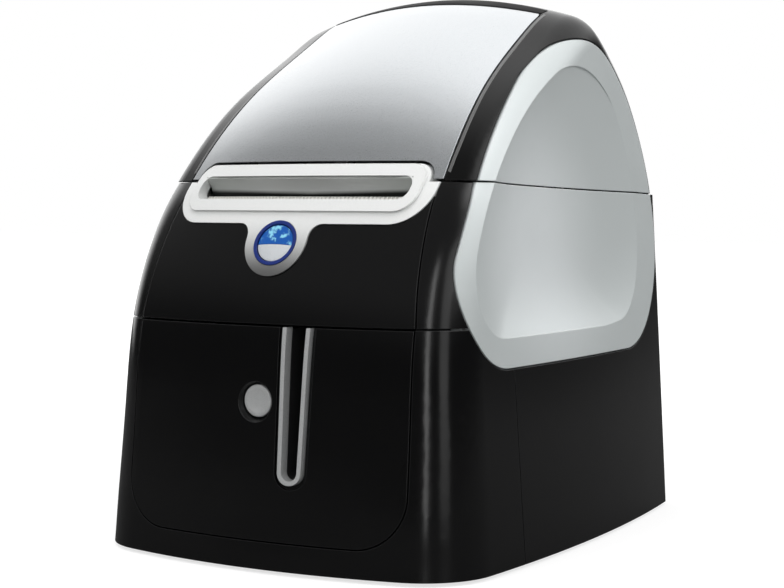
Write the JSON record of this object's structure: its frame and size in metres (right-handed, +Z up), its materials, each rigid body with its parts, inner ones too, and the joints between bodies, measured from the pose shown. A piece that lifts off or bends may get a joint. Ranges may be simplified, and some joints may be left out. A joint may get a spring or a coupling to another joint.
{
  "type": "label printer",
  "caption": "Desktop label and tape printer with a domed lid, a slot bezel with a push button, and a tape tray that slides out of its front.",
  "frame": {"origin": "on the table under the middle of the machine's box", "axes": "+Z up, the front with the slots faces -Y, +X to the right seen from the front"},
  "size_m": [0.1398, 0.187, 0.1842],
  "materials": {
    "gloss_black": "glossy moulded black",
    "silver_lacquer": "silver lacquer",
    "pearl_white": "satin pearl white",
    "pad_grey": "satin blue-grey",
    "bright_metal": "bright plated",
    "silver_plastic": "satin silver",
    "clear_blue": "clear blue",
    "dark_plastic": "dark moulded",
    "grey_plastic": "mid grey moulded",
    "white_plastic": "natural white moulded",
    "soft_rubber": "matt",
    "steel": "machined",
    "heat_sink": "extruded",
    "ceramic": "glazed ceramic",
    "board": "solder mask",
    "paper": "matt paper",
    "card": "plain card"
  },
  "bodies": {
    "chassis": {"main_casing": "gloss_black", "front_frame": "gloss_black", "centre_panel": "gloss_black", "slot_bezel": "pearl_white", "slot_deflector": "bright_metal", "tear_bar": "bright_metal", "button_ring": "clear_blue", "side_pad_lower_right": "pad_grey", "side_pad_lower_left": "pad_grey", "base_plate": "dark_plastic", "rubber_feet": "soft_rubber", "base_screws": "steel", "tray_runners": "dark_plastic", "inner_frame": "dark_plastic", "feed_motor": "steel", "circuit_board": "board", "board_parts": "dark_plastic", "power_inlet": "grey_plastic", "usb_socket": "steel", "hinge_pins": "steel"},
    "lid": {"lid_shell": "gloss_black", "lid_panel": "silver_lacquer", "side_pad_upper_right": "pad_grey", "side_pad_upper_left": "pad_grey"},
    "spool": {"label_spool": "grey_plastic", "locking_guide": "grey_plastic", "roll_core": "card", "label_roll": "paper"},
    "label_platen": {"platen_shaft": "steel", "platen_roller": "soft_rubber", "platen_gear": "white_plastic"},
    "label_idler": {"label_idler": "white_plastic"},
    "label_pinion": {"label_pinion": "white_plastic"},
    "print_head": {"head_bracket": "heat_sink", "print_head": "ceramic"},
    "release_lever": {"release_lever": "grey_plastic"},
    "label_guide": {"label_guide": "grey_plastic"},
    "feed_button": {"feed_button": "silver_plastic", "feed_lens": "clear_blue"},
    "tray": {"tape_tray": "dark_plastic", "tray_front": "gloss_black", "slot_trim": "silver_plastic", "slot_channel": "dark_plastic", "tape_cassette": "grey_plastic", "tape_head": "heat_sink", "tape_bridge": "grey_plastic", "tape_motor": "steel", "cutter_solenoid": "steel", "cutter_anvil": "steel"},
    "tape_platen": {"tape_platen": "soft_rubber", "tape_platen_gear": "white_plastic"},
    "tape_idler": {"tape_idler": "white_plastic"},
    "tape_pinion": {"tape_pinion": "white_plastic"},
    "cutter": {"cutter_blade": "steel"},
    "tape_spool": {"tape_spool_hub": "white_plastic"},
    "ribbon_spool": {"ribbon_spool_hub": "white_plastic"},
    "eject_button": {"eject_button": "silver_plastic"},
    "eject_lever": {"eject_lever": "grey_plastic"}
  },
  "joints": [
    {"name": "lid_hinge", "type": "hinge", "parent": "chassis", "child": "lid", "pos_m": [0, 0.0883, 0.11625], "axis": [-1, 0, 0], "range_deg": [0, 75]},
    {"name": "spool_spin", "type": "hinge", "parent": "lid", "child": "spool", "pos_m": [0, 0.026, 0.122], "axis": [1, 0, 0], "continuous": true},
    {"name": "platen_spin", "type": "hinge", "parent": "chassis", "child": "label_platen", "pos_m": [0, -0.046, 0.104], "axis": [1, 0, 0], "continuous": true},
    {"name": "idler_spin", "type": "hinge", "parent": "chassis", "child": "label_idler", "pos_m": [-0.049, -0.05793, 0.08696], "axis": [1, 0, 0], "continuous": true},
    {"name": "pinion_spin", "type": "hinge", "parent": "chassis", "child": "label_pinion", "pos_m": [-0.049, -0.04199, 0.08557], "axis": [1, 0, 0], "continuous": true},
    {"name": "lever_turn", "type": "hinge", "parent": "chassis", "child": "release_lever", "pos_m": [-0.0417, -0.03, 0.103], "axis": [1, 0, 0], "range_deg": [0, 30]},
    {"name": "head_lift", "type": "hinge", "parent": "chassis", "child": "print_head", "pos_m": [0, -0.026, 0.116], "axis": [-1, 0, 0], "range_deg": [0, 8]},
    {"name": "guide_slide", "type": "slide", "parent": "chassis", "child": "label_guide", "axis": [-1, 0, 0], "range_m": [0, 0.02]},
    {"name": "feed_press", "type": "slide", "parent": "chassis", "child": "feed_button", "axis": [0, 0.8985, -0.439], "range_m": [0, 0.0012], "stiffness_N_per_m": 300},
    {"name": "tray_slide", "type": "slide", "parent": "chassis", "child": "tray", "axis": [0, -1, 0], "range_m": [0, 0.085]},
    {"name": "tape_platen_spin", "type": "hinge", "parent": "tray", "child": "tape_platen", "pos_m": [0.0176, -0.06, 0.033], "axis": [0, 0, 1], "continuous": true},
    {"name": "tape_idler_spin", "type": "hinge", "parent": "tray", "child": "tape_idler", "pos_m": [0.02771, -0.05152, 0.016], "axis": [0, 0, 1], "continuous": true},
    {"name": "tape_pinion_spin", "type": "hinge", "parent": "tray", "child": "tape_pinion", "pos_m": [0.02771, -0.04072, 0.016], "axis": [0, 0, 1], "continuous": true},
    {"name": "tape_spool_spin", "type": "hinge", "parent": "tray", "child": "tape_spool", "pos_m": [-0.02, -0.016, 0.033], "axis": [0, 0, 1], "continuous": true},
    {"name": "ribbon_spool_spin", "type": "hinge", "parent": "tray", "child": "ribbon_spool", "pos_m": [0.002, -0.034, 0.033], "axis": [0, 0, 1], "continuous": true},
    {"name": "cutter_slide", "type": "slide", "parent": "tray", "child": "cutter", "axis": [1, 0, 0], "range_m": [0, 0.004], "stiffness_N_per_m": 150},
    {"name": "eject_press", "type": "slide", "parent": "tray", "child": "eject_button", "axis": [0, 1, 0], "range_m": [0, 0.0025], "stiffness_N_per_m": 300},
    {"name": "eject_turn", "type": "hinge", "parent": "tray", "child": "eject_lever", "pos_m": [0, -0.066, 0.06], "axis": [1, 0, 0], "range_deg": [0, 18]}
  ],
  "couplings": [
    {"joint": "idler_spin", "follows": "platen_spin", "ratio": -0.85714},
    {"joint": "pinion_spin", "follows": "platen_spin", "ratio": 2},
    {"joint": "head_lift", "follows": "lever_turn", "ratio": 0.26667},
    {"joint": "tape_idler_spin", "follows": "tape_platen_spin", "ratio": -0.83333},
    {"joint": "tape_pinion_spin", "follows": "tape_platen_spin", "ratio": 1.6667},
    {"joint": "eject_turn", "follows": "eject_press", "rad_per_m": 100}
  ]
}
